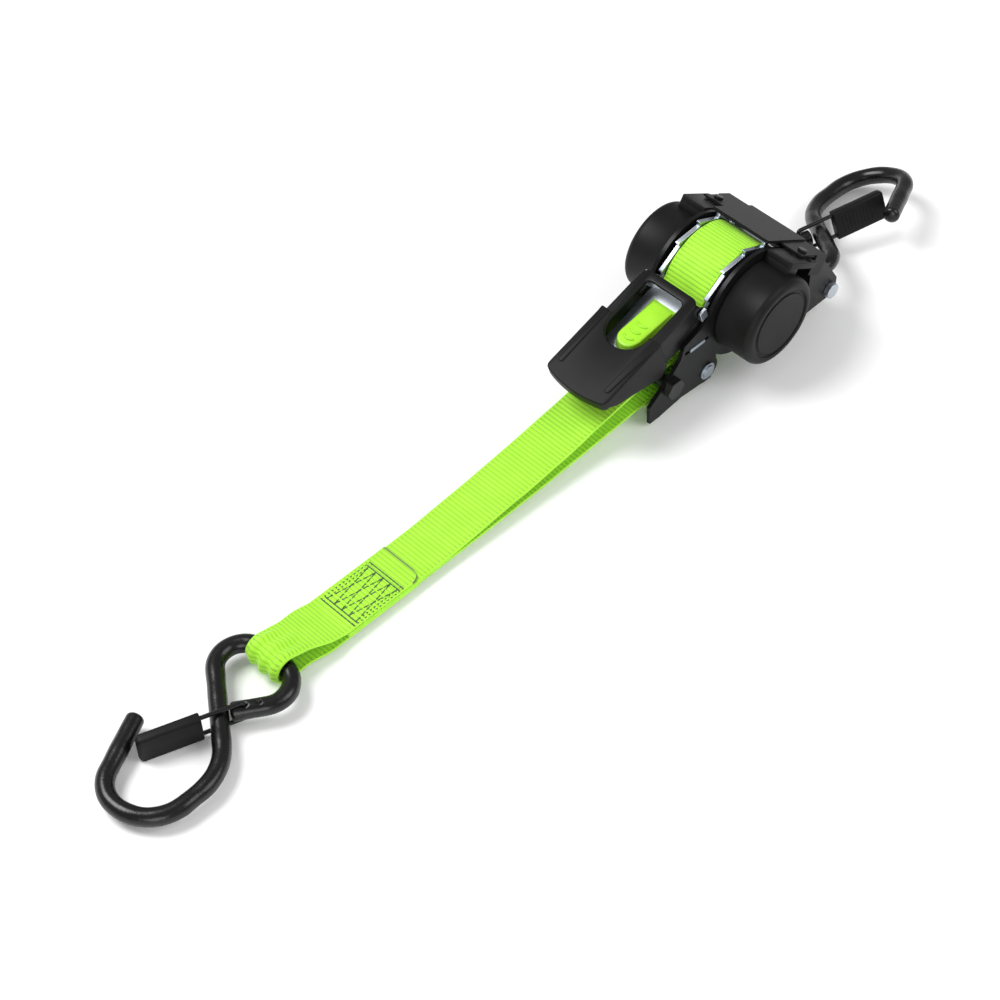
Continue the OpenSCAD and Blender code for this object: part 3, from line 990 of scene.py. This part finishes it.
    def declare(
        self, name: str, skin: Skin, body: str, node: str,
    ) -> None:
        """Makes a run of webbing.

        Args:
            name: the piece's name.
            skin: its surface.
            body: the body it rides on.
            node: the CAD node it replaces.
        """
        piece = Bench.piece(name, skin, WOVEN, body, node, sharp=180)

    def build(self) -> None:
        """Makes the stitching and every run of webbing."""
        self.stitching()
        self.coil()
        self.lower()
        self.upper()
        self.loop()


# ---- Hooks
@dataclass(frozen=True)
class SHook:
    """A bent rod: a closed eye, a straight shank and an open bow, with a sprung keeper across the bow."""

    rod_r: float = 4.2
    eye_r: float = 12.0
    bar: float = 13.0
    shank_turn: float = 143.0
    shank: float = 39.4
    bow_r: float = 27.5
    low_r: float = 20.5
    tip_r: float = 16.0
    flat: float = 7.6
    rise: float = 0.6
    tip_turn: float = 116.0
    tip: float = 27.0
    end_turn: float = -124.0
    end: float = 14.4
    pivot_back: float = 9.5
    keeper_turn: float = 158.8
    wire_r: float = 1.0
    leg_z: float = 5.6
    leg_end: float = 29.0
    sleeve: tuple = (28.5, 5.0, 15.0)
    sleeve_x: float = 19.5
    ribs: tuple = (9, 4.6, 1.95)

    def free_end(self) -> tuple[Array, Array]:
        """Where the eye's bend ends, and the direction of the straight after it."""
        bend = np.array([-self.eye_r, -self.bar / 2])
        return bend + self.eye_r * toward(self.end_turn), toward(self.end_turn - 90)

    def pivot(self) -> Array:
        """The keeper's pivot on the rod's free end."""
        start, way = self.free_end()
        return start + self.pivot_back * way

    def centreline(self) -> Array:
        """The rod's middle line: arcs and straights in one plane, from the free end to the tip.

        Returns:
            Points an even step apart, n by 2.
        """
        start, way = self.free_end()
        shank_top = np.array([-self.eye_r, self.bar / 2]) + self.eye_r * toward(self.shank_turn)
        shank_low = shank_top + self.shank * toward(self.shank_turn + 90)
        bow = shank_low + self.bow_r * toward(self.shank_turn)
        low = bow + np.array([-self.flat, self.low_r - self.bow_r])
        high = low + np.array([self.tip_r - self.low_r, self.rise])
        tip = high + self.tip_r * toward(self.tip_turn)
        return even(np.vstack([
            [start + self.end * way],
            arc((-self.eye_r, -self.bar / 2), self.eye_r, self.end_turn, 0),
            arc((-self.eye_r, self.bar / 2), self.eye_r, 0, self.shank_turn),
            arc(tuple(bow), self.bow_r, 180 + self.shank_turn, 270),
            arc(tuple(low), self.low_r, 270, 180),
            arc(tuple(high), self.tip_r, 180, self.tip_turn),
            [tip + self.tip * toward(self.tip_turn - 90)],
        ]), 0.5, 3)

    def rod_skin(self) -> Skin:
        """The dipped rod, a hair uneven, dented at the keeper's pivot and at the press mark beside it.

        Returns:
            The rod's skin.
        """
        line = self.centreline()
        run = length_along(line)
        radius = self.rod_r + 0.05 * np.sin(run / 3.1) + 0.04 * np.sin(run / 1.9 + 1)
        skin = rod(np.column_stack([line, 0 * run]), np.array([0.0, 0, 1]), radius, 44, (0.35, 0.55))
        pivot, press = self.pivot(), self.pivot() - 6.2 * self.free_end()[1]
        for centre, size, depth in ((pivot, 1.5, 0.7), (press, 1.1, 1.1)):
            away = np.linalg.norm(skin.points[:, :2] - centre, axis=1)
            skin.points[:, 2] -= np.sign(skin.points[:, 2]) * depth * np.exp(-((away / size) ** 6))
        return skin

    def wire_skin(self) -> Skin:
        """The keeper's wire: two legs joined inside the sleeve, their ends turned in to the pivot holes.

        Returns:
            The wire's skin, in the keeper's place.
        """
        z, end = self.leg_z, self.leg_end
        corners = [(0, 3.1), (0, z), (end, z), (end, -z), (0, -z), (0, -3.1)]
        line = even(eased(corners, [0, 1.9, 1.9, 1.9, 1.9, 0], 0.25), 0.35)
        path = np.column_stack([line[:, 0], 0 * line[:, 0], line[:, 1]])
        return rod(path, np.array([0.0, 1, 0]), self.wire_r, 18)

    def sleeve_skin(self) -> Skin:
        """The moulded sleeve: a rounded bar, its far end rounded over, with grip ribs on one face.

        The section is a rounded rectangle that shrinks by r * (1 - sin a) towards each end.

        Returns:
            The sleeve's skin, in the keeper's place.
        """
        long, thick, wide = self.sleeve
        t, w = thick / 2, wide / 2
        section, near, far = oblong((-t, t), (-w, w), [1.3] * 4, 0.35), 0.5, 2.3
        a = np.radians(np.linspace(0, 90, 6))
        x = np.concatenate([near * (1 - np.cos(a)), long - far * (1 - np.cos(a[::-1]))])
        shrink = np.concatenate([near * (1 - np.sin(a)), far * (1 - np.sin(a[::-1]))])[:, None]
        rows = np.stack([
            self.sleeve_x + x[:, None] + 0 * section[None, :, 0],
            section[None, :, 0] * (t - shrink) / t,
            section[None, :, 1] * (w - shrink) / w,
        ], -1)
        count, first, pitch = self.ribs
        rib = slab(oblong((-0.45, 0.45), (-4.6, 4.6), [0.4] * 4, 0.2), t - 0.3, t + 0.22, 0.18)
        starts = [np.array([self.sleeve_x + first + pitch * k, 0, 0]) for k in range(count)]
        ribs = [rib.placed(Place(turned("x", 90), at)) for at in starts]
        mark = spun(np.array([(0.05, 0.0), (0.75, 0.0), (0.85, 0.12), (0.6, 0.2), (0.05, 0.12)]), 20)
        mark = mark.placed(Place(turned("x", -90), np.array([self.sleeve_x + long - 6.5, t - 0.06, -2.2])))
        return joined(sheathed(rows), mark, *ribs)

    def build(self, end: str, place: Place) -> None:
        """Makes one hook with its keeper.

        Args:
            end: "front" or "rear".
            place: the middle of the eye's bar.
        """
        keeper = Place(turned("z", self.keeper_turn), np.array([*self.pivot(), 0])).within(place)
        rows = (
            ("hook", "_dipped", self.rod_skin().placed(place), DIPPED, "hook"),
            ("keeper_wire", "_bent", self.wire_skin().placed(keeper), COATED, "keeper"),
            ("keeper_sleeve", "_moulded", self.sleeve_skin().placed(keeper), MOULDED, "keeper"),
        )
        for node, made, skin, kind, body in rows:
            Bench.piece(f"{end}_{node}{made}", skin, kind, f"{end}_{body}", f"{end}_{node}")


# ---- Housings and frame
@dataclass(frozen=True)
class Housing:
    """A spring housing: a deep round cup with a rounded shoulder, a groove and a slightly raised disc."""

    radius: float = 23.1
    inner: float = 19.3
    deep: float = 20.5
    shoulder: float = 3.6
    wall: float = 1.8
    floor: float = 2.4
    groove: tuple = (18.4, 16.2, 0.9)
    lug: tuple = (-5.0, 19.0, 19.5, 34.0, 25.6, 29.0)
    lug_holes: tuple = ((7.5, 26, 1.25), (15, 26, 1.25), (13, 31.8, 1.5))
    boss: tuple = (-5.0, 4.0, 19.5, 34.0, 22.4, 26.4)

    def cup(self) -> Array:
        """The cup's profile of (radius, height), from the middle of its face round to that of its inside.

        Returns:
            The profile.
        """
        r, h, s = self.radius, self.deep, self.shoulder
        out, into, deep = self.groove
        a = np.radians(np.linspace(0, 180, 13))
        middle, half = (out + into) / 2, (out - into) / 2
        dip = np.column_stack([middle - half * np.cos(a), h - 0.15 - deep * np.sin(a) ** 0.7])
        face = [(0.3, h - 0.02), (6, h - 0.02), (12, h - 0.05), (15.4, h - 0.1)]
        edge = arc((r - s, h - s), s, 90, 0, 0.4)
        back = [(r, 1.6), (r + 0.3, 1.2), (r + 0.3, 0.2), (r, 0.0)]
        back += [(r - self.wall, 0.0), (r - self.wall, h - self.floor), (0.3, h - self.floor)]
        return np.vstack([face, dip, edge, back])

    def build(self, name: str, side: int) -> None:
        """Makes one housing with its lug.

        Args:
            name: the CAD node it replaces.
            side: 1 for +Y, -1 for -Y.
        """
        at = Place(turned("x", -90 * side), np.array([0, side * self.inner, 0]))
        parts = [spun(self.cup(), 160).placed(at)]
        for block, holes in ((self.lug, self.lug_holes), (self.boss, ())):
            t0, t1, y0, y1, d0, d1 = block
            plan = oblong((t0, t1), (side * y0, side * y1), [0.3, 0.3, 1.5, 1.5])
            cut = tuple(disc(t, side * y, r, 24) for t, y, r in holes)
            parts.append(slab(plan, d0, d1, 0.4, cut).placed(AT_COVER))
        Bench.piece(name + "_moulded", joined(*parts), MOULDED, "frame", name)


@dataclass(frozen=True)
class Metalwork:
    """Pressed and turned parts whose CAD shape is right: each gets softer edges and its own finish."""

    eased: tuple = (
        ("frame_plate_left", PAINTED, "frame", 0.35),
        ("frame_plate_right", PAINTED, "frame", 0.35),
        ("rear_cover", MOULDED, "frame", 0.55),
        ("hook_pin", PLATED, "frame", 0.3),
        ("pin_rings", PLATED, "frame", 0.2),
        ("guide_bolt", OXIDE, "frame", 0.35),
        ("guide_nut", OXIDE, "frame", 0.3),
        ("anchor_rivet", PLATED, "frame", 0.45),
        ("housing_screws", OXIDE, "frame", 0.25),
        ("drum_axle", PLATED, "drum", 0.25),
        ("ratchet_wheel_left", PLATED, "drum", 0.18),
        ("ratchet_wheel_right", PLATED, "drum", 0.18),
        ("handle_pawl", PLATED, "handle_pawl", 0.25),
        ("frame_pawl", PLATED, "frame_pawl", 0.2),
    )
    dressed: tuple = (("spring_left", SPRUNG), ("spring_right", SPRUNG))

    def build(self) -> None:
        """Makes every eased copy and dresses the hidden springs."""
        for row in self.eased:
            Bench.eased_copy(*row)
        for node, kind in self.dressed:
            Bench.dress(node, kind)


# ---- Handle
@dataclass(frozen=True)
class Handle:
    """The lever: a pressed channel with a window, a moulded grip, a sprung lime button and its spring."""

    wall: tuple = (15.3, 16.8)
    top: tuple = (28.7, 30.5)
    bar_s: float = 24.6
    plate_end: float = 84.0
    window: tuple = (29.4, 66.0, 11.3)
    grip: tuple = (53.0, 95.0, 18.4)
    grip_top: float = 32.2
    hub_r: float = 18.0
    bore_r: float = 5.06
    side_top: tuple = ((-84, 25), (-84, 29.9), (-29, 29.9), (-26, 28.2), (-24.7, 24.8))
    side_low: tuple = ((-28, 7.5), (-29.5, 8.8), (-44, 12.8), (-58, 13.5))
    pawl_slot: tuple = ((-33, -23.2), (18.45, 20.55))
    nose_r: float = 60.0
    ridges: tuple = (-44.5, -49.0, -53.5)

    def opening(self) -> Array:
        """The window's outline, square near the drum and half round at the grip."""
        s0, s1, r = self.window
        return oblong((-s1, -s0), (-r, r), [r - 0.05, 3, 3, r - 0.05])

    def channel(self) -> None:
        """The pressed steel: a top with rounded corners and two walls with a round hub."""
        inner, half = self.wall
        plan = oblong((-self.plate_end, -self.bar_s), (-half, half), [0, 4.5, 4.5, 0])
        parts = [slab(plan, *self.top, 0.85, (self.opening(),), 4)]
        side = np.vstack([self.side_top, arc((0, 0), self.hub_r, 141.8, -139.4), self.side_low])
        holes = (oblong(*self.pawl_slot, [0.5] * 4, 0.2), disc(0, 0, self.bore_r, 48))
        for low, high in ((inner, half), (-half, -inner)):
            parts.append(upright(slab(side, low, high, 0.35, holes)))
        Bench.piece("handle_channel", joined(*parts).placed(AT_HANDLE), PAINTED, "handle", "handle_frame")

    def grip_skin(self) -> Skin:
        """The moulded grip: a roof, two raised rails, deep side skirts and a rounded nose.

        Returns:
            The skin in the handle's place.
        """
        s0, s1, half = self.grip
        r = self.nose_r
        mid = r - s1
        nose = math.degrees(math.asin(half / r))
        rim = np.vstack([[(-s0, -half)], arc((mid, 0), r, 180 + nose, 180 - nose, 1.0), [(-s0, half)]])
        rim = even(rim, 0.8, 8)
        _, w1, w = self.window
        mouth = arc((-w1 + w, 0), w, 90, 270)
        roof = np.vstack([[(-s0, w)], mouth, [(-s0, -w)], rim])
        parts = [slab(roof, 30.55, self.grip_top, 0.75, (), 4)]
        for side in (-1, 1):
            corners = [(-s0, side * 13.7), (-86, side * 13.0), (-89.5, side * 15.5), (-s0, side * 18.2)]
            rail = eased(corners, [0.6, 1.2, 1.5, 0.6])
            parts.append(slab(rail, 31.4, self.grip_top + 0.5, 0.4))
            corners = [(-s0, 31.8), (-s0, 13.5), (-58, 9.6), (-86, 23), (-89.6, 26.5), (-89.8, 31.8)]
            skirt = eased(corners, [0.8, 2, 3, 6, 2, 0.8])
            low, high = sorted((side * 16.95, side * half))
            parts.append(upright(slab(skirt, low, high, 0.6)))
        way = heading(rim)
        inward = np.column_stack([way[:, 1], -way[:, 0]])
        parts.append(slab(np.vstack([rim + 0.05 * inward, (rim + 1.6 * inward)[::-1]]), 26.4, 31.6, 0.5))
        return joined(*parts)

    def button_top(self, x: Array) -> Array:
        """Height of the button's back at each X: low by the drum, rising to its thumb end."""
        return np.interp(-x, [32, 33.5, 58, 61, 63.2], [21.2, 21.9, 26.5, 26.7, 26.2])

    def button_skin(self) -> Skin:
        """The button: one outline that closes in as it rises, and three curved ridges.

        Row k lies a share of the way from the foot to the back, moved in from the outline by its inset.

        Returns:
            The skin in the handle's place.
        """
        r, foot = 7.3, 20.45
        plan = oblong((-63, -32), (-r, r), [7.1, 0.9, 0.9, 7.1], 0.4)
        middle = np.array([-49.0, 0])
        a = np.radians(np.linspace(0, 90, 5))
        inset = np.concatenate([[-0.05, 0.05, 0.9], 1.3 + 0.8 * (1 - np.cos(a)), [3.4]])
        share = np.concatenate([[0, 0.12, 0.6], 1 - 0.16 * (1 - np.sin(a)), [1.0]])
        scale = 1 - inset[:, None, None] / np.array([15.5, r])[None, None]
        flat = middle + (plan - middle)[None] * scale
        height = foot + share[:, None] * (self.button_top(flat[..., 0]) - foot)
        parts = [sheathed(np.concatenate([flat, height[..., None]], -1))]
        for x in self.ridges:
            curve = arc((x, 0), 4.0, 138, 222, 0.3)
            line = np.column_stack([curve, self.button_top(curve[:, 0]) + 0.12])
            parts.append(rod(line, np.array([0.0, 0, 1]), 0.5, 14))
        return joined(*parts)

    @staticmethod
    def coil_spring(start: tuple, radius: float, wire: float, long: float, turns: float) -> Skin:
        """A compression spring along -X: a helix whose end turns lie closer.

        Args:
            start: its first end's middle.
            radius: of the wire's middle line.
            wire: the wire's radius.
            long: its length.
            turns: how many.

        Returns:
            The spring's skin.
        """
        t = np.linspace(0, 1, int(turns * 28))
        a = 2 * np.pi * turns * t
        along = long * (t - 0.09 * np.sin(2 * np.pi * t))
        spoke = np.column_stack([0 * a, np.cos(a), np.sin(a)])
        path = np.array(start) + radius * spoke - np.column_stack([along, 0 * a, 0 * a])
        return rod(path, spoke, wire, 12)

    def build(self) -> None:
        """Makes the handle's pieces."""
        self.channel()
        main_spring = self.coil_spring((-66.6, 0, 20.2), 2.4, 0.5, 12.0, 7).placed(AT_HANDLE)
        low_spring = self.coil_spring((-40.6, 0, -3.7), 2.0, 0.45, 5.0, 4)
        rows = (
            ("handle_grip", "_moulded", self.grip_skin().placed(AT_HANDLE), MOULDED, "handle"),
            ("release_button", "_moulded", self.button_skin().placed(AT_HANDLE), LIMEY, "handle_pawl"),
            ("pawl_spring", "_wound", main_spring, SPRUNG, "handle_pawl"),
            ("frame_pawl_spring", "_wound", low_spring, SPRUNG, "frame_pawl"),
        )
        for node, made, skin, kind, body in rows:
            Bench.piece(node + made, skin, kind, body, node)


# ---- Studio
@dataclass(frozen=True)
class Studio:
    """Camera, pale floor and soft light."""

    eye: tuple = (-0.55577, -0.5261, 0.8624)
    aim: tuple = (-0.04807, -0.023, 0.0341)
    lens: float = 90.1
    reach: float = 4.0
    room: float = 0.42
    lamps: tuple = (
        ("key", (-0.5, 0.7, 1.3), 0.9, 23.0),
        ("fill", (0.5, -1.0, 1.0), 1.0, 9.0),
        ("low", (-1.0, -0.9, 0.5), 0.8, 6.0),
    )

    def camera(self) -> None:
        """Sets up the camera that frames the whole strap."""
        data = bpy.data.cameras.new("camera")
        data.lens, data.sensor_width, data.clip_end = self.lens, 36.0, 20.0
        cam = linked("camera", data)
        cam.location, cam.rotation_euler = self.eye, look(self.eye, self.aim)
        bpy.context.scene.camera = cam

    def floor(self) -> None:
        """Lays a plain pale floor under the strap."""
        mesh = bpy.data.meshes.new("floor")
        low, r = CAD_BOX[0][2], self.reach
        mesh.from_pydata([(-r, -r, low), (r, -r, low), (r, r, low), (-r, r, low)], [], [(0, 1, 2, 3)])
        mesh.materials.append(Bench.finish(FLOORING))
        linked("floor", mesh)

    def light(self) -> None:
        """Hangs three large soft lamps in a bright room."""
        world = bpy.data.worlds.new("room")
        world.use_nodes = True
        back = world.node_tree.nodes["Background"]
        back.inputs["Color"].default_value = (1, 1, 1, 1)
        back.inputs["Strength"].default_value = self.room
        bpy.context.scene.world = world
        for name, where, size, watts in self.lamps:
            data = bpy.data.lights.new(name, "AREA")
            data.shape, data.size, data.energy = "DISK", size, watts
            lamp = linked(name, data)
            lamp.location, lamp.rotation_euler = where, look(where, (0, 0, 0))
        bpy.context.scene.view_settings.view_transform = "Standard"

    def build(self) -> None:
        """Sets up everything that isn't the strap."""
        self.camera()
        self.floor()
        self.light()


def main() -> None:
    """Builds the studio and every part of the strap."""
    logging.basicConfig(level=logging.INFO, format="%(name)s: %(message)s")
    Studio().build()
    Metalwork().build()
    for name, side in (("housing_left", 1), ("housing_right", -1)):
        Housing().build(name, side)
    Handle().build()
    for end, place in (("front", AT_FRONT), ("rear", AT_REAR)):
        SHook().build(end, place)
    Straps().build()


if __name__ == "__main__":
    main()
